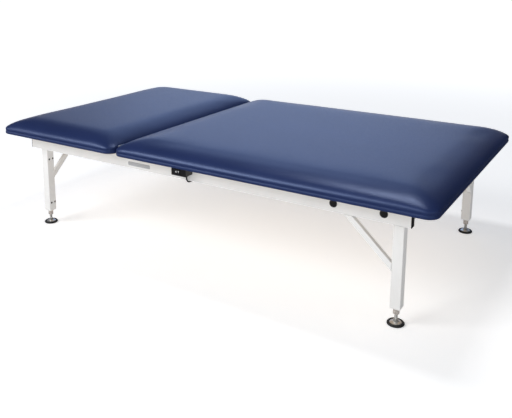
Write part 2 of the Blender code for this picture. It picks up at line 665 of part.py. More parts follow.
def make_joints():
    backrest = ("deck_head", "cushion_head", "backrest_arm_front", "backrest_arm_rear",
                "backrest_crossbar", "hinge_leaf_moving", "rod_bracket")
    make_joint("backrest_hinge", (HINGE_X, 0.0, HINGE_Z), backrest)
    actuator = ("actuator_housing", "actuator_motor", "actuator_tube", "actuator_pivot_pin")
    make_joint("actuator_swing", PIVOT, actuator)
    make_joint("rod_slide", ROD_PIN, ("actuator_rod", "rod_pin"))
    rocker = (ROCKER_X, SWITCH_LOW.y + ROCKER_PIVOT_DEPTH, ROCKER_Z)
    make_joint("rocker_tilt", rocker, ("switch_rocker",))
    for end, x in ENDS.items():
        for side, sign in SIDES.items():
            y = sign * (FRAME_WIDTH - LEG_SIZE) / 2
            label = f"{side}_{end}"
            make_joint("foot_height_" + label, (x, y, 0.0),
                       ("foot_stud_" + label, "foot_cup_" + label, "foot_pad_" + label))


def build():
    clear_scene()
    white = make_material("white_powder_coat", (0.80, 0.79, 0.77), 0.45)
    black = make_material("black_plastic", (0.02, 0.02, 0.022), 0.4)
    grey = make_material("grey_plastic", (0.16, 0.16, 0.17), 0.5)
    zinc = make_material("zinc_plate", (0.62, 0.61, 0.58), 0.35, 1.0)
    steel = make_material("bright_steel", (0.55, 0.55, 0.56), 0.3, 1.0)
    rubber = make_material("black_rubber", (0.02, 0.02, 0.022), 0.7)
    plywood = make_material("plywood", (0.55, 0.40, 0.24), 0.6)
    vinyl = make_material("navy_vinyl", (0.020, 0.035, 0.115), 0.4)
    make_rails(white, black)
    for end in ENDS:
        for side in SIDES:
            x, y = make_leg(end, side, white)
            make_brace(end, side, (end == "foot") == (side == "front"), white)
            make_foot(end, side, x, y, zinc, rubber)
    make_hole_plugs(black)
    make_decks_and_cushions(plywood, vinyl)
    make_hinge(steel)
    make_backrest_frame(white)
    make_actuator(white, grey, steel)
    make_rod_bracket(white)
    make_switch(black)
    make_control_box(grey, black)
    make_cable("switch_cable", SWITCH_CABLE, black)
    make_cable("motor_cable", MOTOR_CABLE, black)
    make_joints()


build()
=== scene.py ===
"""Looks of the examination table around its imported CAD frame.

Metres, +Z up, in the row frame: origin on the floor under the middle of the top, +X towards
the foot end, -Y towards the side with the hand switch.
"""
import json
import math

import bmesh
import bpy
from mathutils import Matrix, Vector, noise


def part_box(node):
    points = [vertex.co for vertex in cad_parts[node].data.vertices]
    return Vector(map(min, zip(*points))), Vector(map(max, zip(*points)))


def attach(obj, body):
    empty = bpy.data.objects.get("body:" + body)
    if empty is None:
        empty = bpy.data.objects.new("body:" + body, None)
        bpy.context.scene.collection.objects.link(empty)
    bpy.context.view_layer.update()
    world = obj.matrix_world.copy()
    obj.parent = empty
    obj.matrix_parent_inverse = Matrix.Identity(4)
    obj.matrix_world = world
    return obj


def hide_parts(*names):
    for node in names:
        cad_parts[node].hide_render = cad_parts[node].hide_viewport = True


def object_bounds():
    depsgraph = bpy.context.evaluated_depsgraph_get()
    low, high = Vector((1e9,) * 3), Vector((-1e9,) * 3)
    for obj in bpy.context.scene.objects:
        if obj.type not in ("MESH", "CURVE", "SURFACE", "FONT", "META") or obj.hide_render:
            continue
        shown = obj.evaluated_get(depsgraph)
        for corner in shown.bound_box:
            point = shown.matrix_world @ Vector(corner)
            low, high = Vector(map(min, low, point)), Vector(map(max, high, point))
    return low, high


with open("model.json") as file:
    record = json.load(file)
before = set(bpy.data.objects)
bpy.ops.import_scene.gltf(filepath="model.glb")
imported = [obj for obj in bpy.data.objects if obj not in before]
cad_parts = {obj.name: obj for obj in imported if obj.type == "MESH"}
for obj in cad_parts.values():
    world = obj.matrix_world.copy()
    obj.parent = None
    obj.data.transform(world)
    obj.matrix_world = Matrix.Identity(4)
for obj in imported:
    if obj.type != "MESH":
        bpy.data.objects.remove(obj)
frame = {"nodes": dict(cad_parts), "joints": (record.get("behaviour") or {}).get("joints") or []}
CAD_BOX = [list(corner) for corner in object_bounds()]
NODES = frame["nodes"]
JOINTS = {joint["name"]: joint for joint in frame["joints"]}

# The camera's place in the row frame, its direction, and its sensor and lens in millimetres
CAMERA_PLACE = (1.5984, -2.6534, 1.2670)
CAMERA_YAW = math.radians(-32.957)
CAMERA_PITCH = math.radians(11.209)
CAMERA_SENSOR = 36.0
CAMERA_LENS = 46.46109375
CAMERA_SHIFT_X = 0.0517
CAMERA_SHIFT_Y = -0.22

# From the frame: the top's width, the hinge's axis, and the lift's pivot and direction
TOP_WIDTH = round(CAD_BOX[1][1] - CAD_BOX[0][1], 6)
HINGE_X = JOINTS["backrest_hinge"]["pos_m"][0]
LIFT_PIVOT = JOINTS["actuator_swing"]["pos_m"]
LIFT_AXIS = JOINTS["rod_slide"]["axis"]

# Where the leads come out, as in the CAD: (x, z) on the control box's front face, (y, z) on its
# head face, and (x, y) under the switch
SWITCH_LEAD_ENTRY = (0.020, 0.418)
MOTOR_LEAD_ENTRY = (-0.350, 0.416)
SWITCH_LEAD_EXIT = (0.010, -0.533)

# A brace's welds: how far from the leg its top starts and ends, the heights of its lower end on
# the leg, the height of the rail's underside, and the outward direction of its own underside
BRACE_TOP_REACHES = (0.1537, 0.1860)
BRACE_FOOT_HEIGHTS = (0.206, 0.237)
BRACE_TOP_HEIGHT = 0.3797
BRACE_UNDERSIDE = (0.683, 0.73)

# Cushion cover: round corners in plan, and a soft fall from the crown to each edge
CORNER = 0.045
ROLL_BASE = 0.4790
CROWN = 0.0485
END_FALL = 0.134
SIDE_FALL = 0.118
FALL_POWER = 1.95

# Its mesh: steps over each fall, and the widest step in the middle
FALL_STEPS = 14
MIDDLE_STEP = 0.024

# Easing of the bend where the fall ends: how far it reaches, and where it sets in
EASE_REACH = 0.014
EASE_START, EASE_END = 0.03, 0.10

# Rows of the cover below the roll: inset from the outline and height, then the same two beside
# the hinge
SIDE_ROWS = ((0.0002, 0.4770, 0.0004, 0.4768), (0.0009, 0.4747, 0.0010, 0.4752),
             (0.0022, 0.4720, 0.0020, 0.4730), (0.0025, 0.4700, 0.0030, 0.4715),
             (0.0014, 0.4675, 0.0040, 0.4705), (0.0004, 0.4635, 0.0050, 0.4700),
             (0.0004, 0.4600, 0.0058, 0.46985), (0.0015, 0.4568, 0.0066, 0.4698),
             (0.0040, 0.4551, 0.0074, 0.46975), (0.0120, 0.4548, 0.0082, 0.4697),
             (0.0300, 0.4549, 0.0090, 0.46965), (0.0302, 0.4558, 0.0098, 0.4696),
             (0.0120, 0.4558, 0.0106, 0.46955), (0.0029, 0.4558, 0.0114, 0.4695),
             (0.0028, 0.4640, 0.0122, 0.46945), (0.0029, 0.4694, 0.0130, 0.4694))

# How many of those rows are the skirt's outer face, and over how many its bulge grows
OUTER_ROWS = 8
BULGE_ROWS = 3

# Beside the hinge: where along the table's width the cover begins to wrap the deck's edge, how
# much of the crease shows at the hinge, over what distance from it the rest returns, and how far
# the skirt stands out there
WRAP_START, WRAP_END = 0.5450, 0.5640
CREASE_AT_HINGE = 0.12
CREASE_START, CREASE_END = 0.010, 0.050
HINGE_BULGE = 0.0010

# The cloth simulation: what is held, how far a point may move, and the cloth's settings
HELD_BELOW = 0.4815
HELD_FADE = 0.006
MOVE_CAP = 0.004
EVENING_ROUNDS = 6
LAST_FRAME = 20
CLOTH_SETTINGS = {
    "quality": 6, "mass": 0.4, "tension_stiffness": 18, "compression_stiffness": 18,
    "shear_stiffness": 10, "bending_stiffness": 6, "use_pressure": True,
    "uniform_pressure_force": 1.2, "vertex_group_mass": "held", "pin_stiffness": 20,
}

# Folds at the cushions' corners: heights, depth, and (angle from the diagonal, width, share)
TUCK_LOW, TUCK_HIGH = 0.4700, 0.505
TUCK_FADE = 0.022
TUCK_DEPTH = 0.0016
TUCK_INNER = 0.6
TUCKS = ((0.12, 0.10, 1.0), (-0.22, 0.09, 0.6))

# Staples: distance from the cover's edge, height, spacing, and how unevenly they were driven
STAPLE_INSET = 0.0205
STAPLE_HEIGHT = 0.4547
STAPLE_SPACING = 0.042
STAPLE_MARGIN = 0.06
STAPLE_WANDER = 0.0016
STAPLE_TURN = 0.15
END_STAPLES = 26
END_STAPLE_SPAN = 1.05

# A noise texture's values lie mostly between these two
NOISE_LOW, NOISE_HIGH = 0.3, 0.7


# ---------------------------------------------------------------- node materials

def new_material(name):
    material = bpy.data.materials.new(name)
    material.use_nodes = True
    nodes = material.node_tree.nodes
    return material, nodes, material.node_tree.links, nodes["Principled BSDF"]


def add_node(nodes, kind, **values):
    node = nodes.new(kind)
    for key, value in values.items():
        if key in node.inputs:
            node.inputs[key].default_value = value
        else:
            setattr(node, key, value)
    return node


def object_coordinates(nodes, links, scale=(1.0, 1.0, 1.0)):
    place = nodes.new("ShaderNodeTexCoord")
    mapping = nodes.new("ShaderNodeMapping")
    mapping.inputs["Scale"].default_value = scale
    links.new(place.outputs["Object"], mapping.inputs["Vector"])
    return mapping.outputs["Vector"]


def noise_texture(nodes, links, vector, scale, detail, roughness=0.5):
    texture = add_node(nodes, "ShaderNodeTexNoise", Scale=scale, Detail=detail,
                       Roughness=roughness)
    links.new(vector, texture.inputs["Vector"])
    return texture


def ramp(nodes, links, source, stops):
    node = nodes.new("ShaderNodeValToRGB")
    elements = node.color_ramp.elements
    while len(elements) < len(stops):
        elements.new(0.5)
    for element, (position, colour) in zip(elements, stops):
        element.position = position
        element.color = (*colour, 1.0)
    links.new(source, node.inputs["Fac"])
    return node.outputs["Color"]


def tones(nodes, links, texture, low, high):
    """Colour that wanders between two tones with a noise texture."""
    return ramp(nodes, links, texture.outputs["Fac"], [(NOISE_LOW, low), (NOISE_HIGH, high)])


def map_range(nodes, links, source, start, end, low, high, kind="LINEAR"):
    node = add_node(nodes, "ShaderNodeMapRange", interpolation_type=kind)
    ends = {"From Min": start, "From Max": end, "To Min": low, "To Max": high}
    for socket, value in ends.items():
        node.inputs[socket].default_value = value
    links.new(source, node.inputs["Value"])
    return node.outputs["Result"]


def value_range(nodes, links, texture, low, high):
    """Number that wanders between two values with a noise texture."""
    return map_range(nodes, links, texture.outputs["Fac"], NOISE_LOW, NOISE_HIGH, low, high)


def smooth_range(nodes, links, source, start, end, low, high):
    return map_range(nodes, links, source, start, end, low, high, "SMOOTHSTEP")


def math_node(nodes, links, operation, *values):
    node = add_node(nodes, "ShaderNodeMath", operation=operation)
    for socket, value in zip(node.inputs, values):
        if isinstance(value, (int, float)):
            socket.default_value = value
        else:
            links.new(value, socket)
    return node.outputs["Value"]


def mix_colour(nodes, links, share, first, second):
    """Mixes from the first colour to the second, each a socket or a tuple."""
    node = add_node(nodes, "ShaderNodeMix", data_type="RGBA")
    links.new(share, node.inputs["Factor"])
    for socket, value in ((node.inputs[6], first), (node.inputs[7], second)):
        if isinstance(value, tuple):
            socket.default_value = (*value, 1.0)
        else:
            links.new(value, socket)
    return node.outputs[2]


def bump(nodes, links, source, distance, strength, normal=None):
    node = add_node(nodes, "ShaderNodeBump", Distance=distance, Strength=strength)
    links.new(source, node.inputs["Height"])
    if normal is not None:
        links.new(normal, node.inputs["Normal"])
    return node.outputs["Normal"]


def vinyl_material():
    """Navy upholstery vinyl: pebbled grain, fine pores and slow changes of tone."""
    material, nodes, links, shader = new_material("navy_vinyl")
    place = object_coordinates(nodes, links)
    broad = noise_texture(nodes, links, place, 5.0, 3.0)
    colour = tones(nodes, links, broad, (0.0120, 0.0230, 0.0880), (0.0155, 0.0280, 0.1020))
    links.new(colour, shader.inputs["Base Color"])
    fine = noise_texture(nodes, links, place, 240.0, 2.0)
    links.new(value_range(nodes, links, fine, 0.33, 0.41), shader.inputs["Roughness"])
    pebble = add_node(nodes, "ShaderNodeTexVoronoi", feature="SMOOTH_F1", Scale=620.0,
                      Smoothness=0.6)
    links.new(place, pebble.inputs["Vector"])
    first = bump(nodes, links, pebble.outputs["Distance"], 0.00028, 0.70)
    second = bump(nodes, links, fine.outputs["Fac"], 0.0006, 0.16, first)
    links.new(second, shader.inputs["Normal"])
    shader.inputs["Specular IOR Level"].default_value = 0.74
    shader.inputs["Specular Tint"].default_value = (0.50, 0.64, 1.0, 1.0)
    return material


def coated_metal(name, low, high):
    """Powder coat: faint orange peel and a slow change of tone."""
    material, nodes, links, shader = new_material(name)
    place = object_coordinates(nodes, links)
    broad = noise_texture(nodes, links, place, 9.0, 3.0)
    links.new(tones(nodes, links, broad, low, high), shader.inputs["Base Color"])
    fine = noise_texture(nodes, links, place, 420.0, 2.0)
    links.new(value_range(nodes, links, fine, 0.37, 0.47), shader.inputs["Roughness"])
    links.new(bump(nodes, links, fine.outputs["Fac"], 0.0006, 0.16), shader.inputs["Normal"])
    return material


def moulded_plastic(name, low, high, roughness, texture_scale=900.0, depth=0.25):
    """Moulded plastic with a fine spark-eroded texture."""
    material, nodes, links, shader = new_material(name)
    place = object_coordinates(nodes, links)
    broad = noise_texture(nodes, links, place, 30.0, 2.0)
    links.new(tones(nodes, links, broad, low, high), shader.inputs["Base Color"])
    fine = noise_texture(nodes, links, place, texture_scale, 1.0)
    rough = value_range(nodes, links, fine, roughness - 0.06, roughness + 0.06)
    links.new(rough, shader.inputs["Roughness"])
    links.new(bump(nodes, links, fine.outputs["Fac"], 0.0003, depth), shader.inputs["Normal"])
    return material


def metal(name, low, high, roughness, scale=160.0, depth=0.12):
    """Bare or plated metal with uneven tone."""
    material, nodes, links, shader = new_material(name)
    shader.inputs["Metallic"].default_value = 1.0
    place = object_coordinates(nodes, links)
    broad = noise_texture(nodes, links, place, scale, 4.0, 0.6)
    links.new(tones(nodes, links, broad, low, high), shader.inputs["Base Color"])
    rough = value_range(nodes, links, broad, roughness - 0.08, roughness + 0.08)
    links.new(rough, shader.inputs["Roughness"])
    links.new(bump(nodes, links, broad.outputs["Fac"], 0.0004, depth), shader.inputs["Normal"])
    return material


def plated(name, dark, light, roughness, metallic):
    """Dull zinc plate: pale and cloudy, only partly mirror-like."""
    material = metal(name, dark, light, roughness)
    material.node_tree.nodes["Principled BSDF"].inputs["Metallic"].default_value = metallic
    return material


def threaded_zinc():
    """Plated stud: the same zinc as the cups, with a 1.75 mm thread as a bump."""
    material, nodes, links, shader = new_material("stud_zinc")
    shader.inputs["Metallic"].default_value = 0.45
    place = object_coordinates(nodes, links)
    broad = noise_texture(nodes, links, place, 160.0, 3.0)
    colour = tones(nodes, links, broad, (0.58, 0.56, 0.54), (0.76, 0.75, 0.73))
    links.new(colour, shader.inputs["Base Color"])
    links.new(value_range(nodes, links, broad, 0.28, 0.42), shader.inputs["Roughness"])
    thread = add_node(nodes, "ShaderNodeTexWave", bands_direction="Z", Scale=179.5, Distortion=0.0)
    links.new(place, thread.inputs["Vector"])
    links.new(bump(nodes, links, thread.outputs["Fac"], 0.0009, 0.9), shader.inputs["Normal"])
    return material


def plywood_material():
    """Birch ply: long grain on the faces, glued layers along the edge."""
    material, nodes, links, shader = new_material("plywood")
    long_grain = object_coordinates(nodes, links, (0.5, 13.0, 1.0))
    grain = noise_texture(nodes, links, long_grain, 4.0, 4.0, 0.5)
    face = ramp(nodes, links, grain.outputs["Fac"],
                [(0.25, (0.44, 0.30, 0.17)), (0.50, (0.54, 0.39, 0.235)),
                 (0.75, (0.61, 0.46, 0.29))])
    layers = add_node(nodes, "ShaderNodeTexWave", bands_direction="Z", Scale=108.0, Distortion=0.6,
                      Detail=1.0)
    links.new(object_coordinates(nodes, links), layers.inputs["Vector"])
    edge = ramp(nodes, links, layers.outputs["Fac"],
                [(0.35, (0.30, 0.19, 0.10)), (0.6, (0.60, 0.45, 0.28))])
    facing = nodes.new("ShaderNodeTexCoord")
    split = nodes.new("ShaderNodeSeparateXYZ")
    links.new(facing.outputs["Normal"], split.inputs["Vector"])
    level = math_node(nodes, links, "ABSOLUTE", split.outputs["Z"])
    links.new(mix_colour(nodes, links, level, edge, face), shader.inputs["Base Color"])
    shader.inputs["Roughness"].default_value = 0.62
    links.new(bump(nodes, links, grain.outputs["Fac"], 0.0008, 0.2), shader.inputs["Normal"])
    return material


def make_materials():
    return {
        "vinyl": vinyl_material(),
        "white": coated_metal("white_powder_coat", (0.760, 0.755, 0.742), (0.800, 0.795, 0.785)),
        "black": moulded_plastic("black_plastic", (0.010, 0.010, 0.012), (0.018, 0.018, 0.021),
                                 0.36),
        "rocker": moulded_plastic("rocker_plastic", (0.012, 0.012, 0.014), (0.02, 0.02, 0.023),
                                  0.27, 1500.0, 0.1),
        "cable": moulded_plastic("cable_jacket", (0.008, 0.008, 0.009), (0.014, 0.014, 0.015),
                                 0.45, 700.0, 0.3),
        "grey": moulded_plastic("grey_plastic", (0.125, 0.127, 0.135), (0.155, 0.157, 0.165), 0.5,
                                700.0, 0.5),
        "nut": plated("nut_zinc", (0.52, 0.46, 0.42), (0.70, 0.65, 0.61), 0.46, 0.30),
        "zinc": plated("cup_zinc", (0.58, 0.57, 0.55), (0.80, 0.79, 0.76), 0.32, 0.75),
        "steel": metal("bright_steel", (0.56, 0.57, 0.59), (0.64, 0.65, 0.66), 0.33,
                       scale=40.0, depth=0.004),
        "stud": threaded_zinc(),
        "screw": plated("dark_screw", (0.035, 0.033, 0.032), (0.07, 0.066, 0.062), 0.42, 0.6),
        "staple": metal("staple_wire", (0.55, 0.55, 0.55), (0.72, 0.72, 0.72), 0.3),
        "rubber": moulded_plastic("black_rubber", (0.010, 0.010, 0.011), (0.020, 0.020, 0.021),
                                  0.62, 500.0, 0.5),
        "mark": moulded_plastic("white_print", (0.62, 0.62, 0.62), (0.72, 0.72, 0.72), 0.5),
        "plate": coated_metal("blank_plate", (0.36, 0.365, 0.38), (0.44, 0.445, 0.46)),
        "plywood": plywood_material(),
    }


def paint(names, material):
    for name in names:
        mesh = NODES[name].data
        mesh.materials.clear()
        mesh.materials.append(material)


def starting_with(*heads):
    return [name for name in NODES if name.startswith(heads)]


def paint_nodes(look):
    paint(starting_with("side_rail", "end_rail", "cross_member", "leg_front", "leg_rear", "brace",
                        "backrest_", "rod_bracket", "actuator_lug"), look["white"])
    paint(starting_with("rail_plug", "hole_plug", "switch_housing", "mains_inlet"), look["black"])
    paint(["switch_rocker"], look["rocker"])
    paint(["switch_cable", "motor_cable"], look["cable"])
    paint(["control_box", "actuator_housing", "actuator_motor"], look["grey"])
    paint(starting_with("leg_nut"), look["nut"])
    paint(starting_with("foot_cup"), look["zinc"])
    paint(starting_with("foot_stud"), look["stud"])
    paint(["actuator_tube", "actuator_rod", "actuator_pivot_pin", "rod_pin", "hinge_pin",
           "hinge_leaf_fixed", "hinge_leaf_moving"], look["steel"])
    paint(starting_with("foot_pad"), look["rubber"])
    paint(["deck_head", "deck_foot"], look["plywood"])


# ---------------------------------------------------------------- cushions

def roll_lines(length, fall):
    """Distances across a cushion: close together over the falling edges, wider in the middle."""
    quarter = math.pi / 2
    near = [fall * (1 - math.cos(quarter * k / FALL_STEPS)) for k in range(FALL_STEPS + 1)]
    inside = length - 2 * near[-1]
    count = max(4, round(inside / MIDDLE_STEP))
    middle = [near[-1] + inside * k / count for k in range(1, count)]
    return near + middle + [length - value for value in reversed(near)]


def plan_point(across, along, length, width):
    """Maps a point of the full rectangle into the outline with round corners."""
    side_x = -1 if across < length / 2 else 1
    side_y = -1 if along < width / 2 else 1
    dx = across if side_x < 0 else length - across
    dy = along if side_y < 0 else width - along
    if dx >= CORNER or dy >= CORNER:
        return across, along
    a, b = 1 - dx / CORNER, 1 - dy / CORNER
    u, v = a * math.sqrt(1 - b * b / 2), b * math.sqrt(1 - a * a / 2)
    px = CORNER * (1 - u)
    py = CORNER * (1 - v)
    return px if side_x < 0 else length - px, py if side_y < 0 else width - py


def fall_share(distance, fall):
    """Height of the foam at a distance from one edge, as a share of the crown's height."""
    if distance >= fall:
        return 1.0
    return (1 - (1 - max(0.0, distance) / fall) ** FALL_POWER) ** (1 / FALL_POWER)


def crown_share(distance, fall):
    """The same, with the bend where the flat begins eased over a wide band."""
    reach = EASE_REACH * smooth_step(distance, EASE_START, EASE_END)
    total = sum((4 - abs(k)) * fall_share(distance + k * reach, fall) for k in range(-3, 4))
    return total / 16    # the sum of the weights 1 2 3 4 3 2 1


def cushion_mesh(name, low_x, high_x, hinge_side):
    """Closed cover: crowned top, soft edges, a skirt round the deck's edge and its fold."""
    length, width = high_x - low_x, TOP_WIDTH
    low_y = -width / 2
    xs = roll_lines(length, END_FALL)
    ys = roll_lines(width, SIDE_FALL)
    mesh_bm = bmesh.new()
    grid = {}
    for i, across in enumerate(xs):
        for j, along in enumerate(ys):
            px, py = plan_point(across, along, length, width)
            share = crown_share(across, END_FALL) * crown_share(length - across, END_FALL)
            share *= crown_share(along, SIDE_FALL) * crown_share(width - along, SIDE_FALL)
            height = ROLL_BASE + CROWN * share
            grid[i, j] = mesh_bm.verts.new((low_x + px, low_y + py, height))
    last_i, last_j = len(xs) - 1, len(ys) - 1
    for i in range(last_i):
        for j in range(last_j):
            mesh_bm.faces.new((grid[i, j], grid[i + 1, j], grid[i + 1, j + 1], grid[i, j + 1]))
    loop = [(i, 0) for i in range(last_i)] + [(last_i, j) for j in range(last_j)]
    loop += [(i, last_j) for i in range(last_i, 0, -1)] + [(0, j) for j in range(last_j, 0, -1)]
    hinge_x = high_x if hinge_side > 0 else low_x
    previous = [grid[key] for key in loop]
    outline = [v.co.copy() for v in previous]
    normals = outline_normals(outline)
    for row, (inset, height, hinge_inset, hinge_height) in enumerate(SIDE_ROWS):
        current = []
        for point, normal in zip(outline, normals):
            share, close = wrap_share(point, hinge_x)
            if row < OUTER_ROWS:
                bulge = HINGE_BULGE * (1 - close) * min(1.0, row / BULGE_ROWS)
                inset_here = inset * close - bulge
            else:
                inset_here = inset
            inward = inset_here * share + hinge_inset * (1 - share)
            z = height * share + hinge_height * (1 - share)
            moved = point - normal * inward
            current.append(mesh_bm.verts.new((moved.x, moved.y, z)))
        for k in range(len(loop)):
            after = (k + 1) % len(loop)
            mesh_bm.faces.new((previous[k], current[k], current[after], previous[after]))
        previous = current
    close_bottom(mesh_bm, previous, last_i, last_j)
    bmesh.ops.recalc_face_normals(mesh_bm, faces=mesh_bm.faces)
    mesh = bpy.data.meshes.new(name)
    mesh_bm.to_mesh(mesh)
    mesh_bm.free()
    item = bpy.data.objects.new(name, mesh)
    bpy.context.scene.collection.objects.link(item)
    mesh.shade_smooth()
    return item


def outline_normals(outline):
    normals = []
    for k in range(len(outline)):
        before, after = outline[k - 1], outline[(k + 1) % len(outline)]
        tangent = (after - before).normalized()
        normals.append(Vector((tangent.y, -tangent.x, 0.0)))
    return normals


def smooth_step(value, start, end):
    share = min(1.0, max(0.0, (value - start) / (end - start)))
    return share * share * (3 - 2 * share)


def wrap_share(point, hinge_x):
    """How far the cover wraps the deck's edge here, and how much of its crease it shows.

    Between the hinge's ends it stops at the deck's top; round the corners beside the hinge it
    wraps closely.
    """
    distance = abs(point.x - hinge_x)
    returned = smooth_step(distance, CREASE_START, CREASE_END)
    close = CREASE_AT_HINGE + (1 - CREASE_AT_HINGE) * returned
    if distance > CORNER:
        return 1.0, close
    return smooth_step(abs(point.y), WRAP_START, WRAP_END), close


def close_bottom(mesh_bm, ring, last_i, last_j):
    """Fills the underside with a strip grid between the ring's two long sides."""
    count = len(ring)
    front = [ring[i] for i in range(last_i + 1)]
    rear = [ring[(last_i + last_j + (last_i - i)) % count] for i in range(last_i + 1)]
    head = [ring[0]] + [ring[count - j] for j in range(1, last_j)] + [rear[0]]
    foot = [ring[last_i + j] for j in range(last_j + 1)]
    rows = [head]
    for i in range(1, last_i):
        start, end = front[i], rear[i]
        inner = [mesh_bm.verts.new(start.co.lerp(end.co, share_between(head, j)))
                 for j in range(1, last_j)]
        rows.append([start] + inner + [end])
    rows.append(foot)
    for low, high in zip(rows, rows[1:]):
        for j in range(last_j):
            mesh_bm.faces.new((low[j], low[j + 1], high[j + 1], high[j]))


def share_between(line, index):
    return (line[index].co.y - line[0].co.y) / (line[-1].co.y - line[0].co.y)


def evened(mesh, shifts):
    """Evens out neighbouring moves, so that the cover is taut and has no small puckers."""
    neighbours = [[] for _ in shifts]
    for edge in mesh.edges:
        first, second = edge.vertices
        neighbours[first].append(second)
        neighbours[second].append(first)
    for _ in range(EVENING_ROUNDS):
        means = [sum((shifts[k] for k in near), Vector()) / len(near) for near in neighbours]
        shifts = [(own + mean) / 2 if own.length > 0 else own for own, mean in zip(shifts, means)]
    return shifts


def inflate(item):
    """Short cloth simulation of the cover over its foam, with pressure inside.

    The lower part is held, and no point moves further than the cap.
    """
    mesh = item.data
    rest = [v.co.copy() for v in mesh.vertices]
    group = item.vertex_groups.new(name="held")
    for v in mesh.vertices:
        hold = min(1.0, 1.0 - (v.co.z - HELD_BELOW) / HELD_FADE)
        if hold > 0:
            group.add([v.index], hold, "REPLACE")
    modifier = item.modifiers.new("cloth", "CLOTH")
    for key, value in CLOTH_SETTINGS.items():
        setattr(modifier.settings, key, value)
    modifier.settings.effector_weights.gravity = 0.0
    modifier.collision_settings.use_collision = False
    modifier.collision_settings.use_self_collision = False
    scene = bpy.context.scene
    for step in range(1, LAST_FRAME + 1):
        scene.frame_set(step)
    swollen = item.evaluated_get(bpy.context.evaluated_depsgraph_get())
    moved = [v.co.copy() for v in swollen.to_mesh().vertices]
    swollen.to_mesh_clear()
    item.modifiers.remove(modifier)
    scene.frame_set(1)
    shifts = []
    for before, after in zip(rest, moved):
        shift = after - before
        shifts.append(shift * (MOVE_CAP / (MOVE_CAP + shift.length)))
    for v, before, shift in zip(mesh.vertices, rest, evened(mesh, shifts)):
        v.co = before + shift


def tuck_depth(angle, height):
    """How deep the folds pull the cover in at an angle round a corner and a height."""
    fold = 0.0
    for offset, width, share in TUCKS:
        fold += share * math.exp(-((angle - math.pi / 4 - offset) / width) ** 2)
    return TUCK_DEPTH * fold * min(1.0, (TUCK_HIGH - height) / TUCK_FADE)


def corner_tucks(item, low_x, high_x):
    """Shallow folds where the cover is gathered round each corner."""
    corners = [(x, y, side_x, side_y)
               for x, side_x in ((low_x + CORNER, -1), (high_x - CORNER, 1))
               for y, side_y in ((CORNER - TOP_WIDTH / 2, -1), (TOP_WIDTH / 2 - CORNER, 1))]
    for v in item.data.vertices:
        if not TUCK_LOW <= v.co.z <= TUCK_HIGH:
            continue
        for corner_x, corner_y, side_x, side_y in corners:
            out_x, out_y = (v.co.x - corner_x) * side_x, (v.co.y - corner_y) * side_y
            if out_x <= 0 or out_y <= 0 or math.hypot(out_x, out_y) < TUCK_INNER * CORNER:
                continue
            angle = math.atan2(out_y, out_x)
            pull = tuck_depth(angle, v.co.z)
            v.co.x -= pull * math.cos(angle) * side_x
            v.co.y -= pull * math.sin(angle) * side_y


def make_cushion(name, node, body, hinge_side, look):
    low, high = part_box(node)
    item = cushion_mesh(name, low.x, high.x, hinge_side)
    inflate(item)
    corner_tucks(item, low.x, high.x)
    item.data.materials.append(look["vinyl"])
    smooth = item.modifiers.new("smooth", "SUBSURF")
    smooth.levels = smooth.render_levels = 1
    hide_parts(node)
    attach(item, body)


# ---------------------------------------------------------------- small hardware

def link_piece(name, mesh_bm, material, body, angle=35):
    """Makes a piece that rides on a body; edges sharper than the angle, in degrees, stay sharp."""
    bmesh.ops.recalc_face_normals(mesh_bm, faces=mesh_bm.faces)
    mesh = bpy.data.meshes.new(name)
    mesh_bm.to_mesh(mesh)
    mesh_bm.free()
    mesh.materials.append(material)
    mesh.shade_smooth()
    mesh.set_sharp_from_angle(angle=math.radians(angle))
    item = bpy.data.objects.new(name, mesh)
    bpy.context.scene.collection.objects.link(item)
    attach(item, body)


def axis_frame(place, direction):
    """Matrix that puts the origin at the place and turns +Z into the direction."""
    turn = Vector(direction).to_track_quat("Z", "Y").to_matrix().to_4x4()
    return Matrix.Translation(place) @ turn


def lathe(mesh_bm, place, direction, profile, sides, six_sided=()):
    """Turns a profile of (radius, height) about an axis; the rings numbered are hexagons."""
    sixth = math.pi / 3
    matrix = axis_frame(place, direction)
    rings = []
    for index, (radius, height) in enumerate(profile):
        if radius == 0:
            rings.append([mesh_bm.verts.new(matrix @ Vector((0, 0, height)))])
            continue
        ring = []
        for side in range(sides):
            angle = 2 * math.pi * side / sides
            reach = radius
            if index in six_sided:
                reach = radius / math.cos((angle + sixth / 2) % sixth - sixth / 2)
            point = (reach * math.cos(angle), reach * math.sin(angle), height)
            ring.append(mesh_bm.verts.new(matrix @ Vector(point)))
        rings.append(ring)
    for low, high in zip(rings, rings[1:]):
        for side in range(sides):
            after = (side + 1) % sides
            if len(low) == 1:
                mesh_bm.faces.new((low[0], high[after], high[side]))
            elif len(high) == 1:
                mesh_bm.faces.new((low[side], low[after], high[0]))
            else:
                mesh_bm.faces.new((low[side], low[after], high[after], high[side]))


def screw_head(mesh_bm, place, direction, radius, height=0.0022):
    """Button head with a hexagon socket, seated 0.2 mm into the surface."""
    seat, socket_rings = -0.0002, (1, 2)
    shape = ((0, 0.30), (0.40, 0.30), (0.42, 0.97), (0.66, 0.90), (0.88, 0.62), (0.98, 0.25))
    profile = [(radius * out, height * up) for out, up in shape] + [(radius, seat), (0, seat)]
    lathe(mesh_bm, place, direction, profile, 24, socket_rings)


def skin(mesh_bm, rings):
    """Joins equal rings of vertices into a closed skin."""
    for low, high in zip(rings, rings[1:]):
        for k in range(len(low)):
            after = (k + 1) % len(low)
            mesh_bm.faces.new((low[k], low[after], high[after], high[k]))
    mesh_bm.faces.new(rings[0])
    mesh_bm.faces.new(rings[-1])


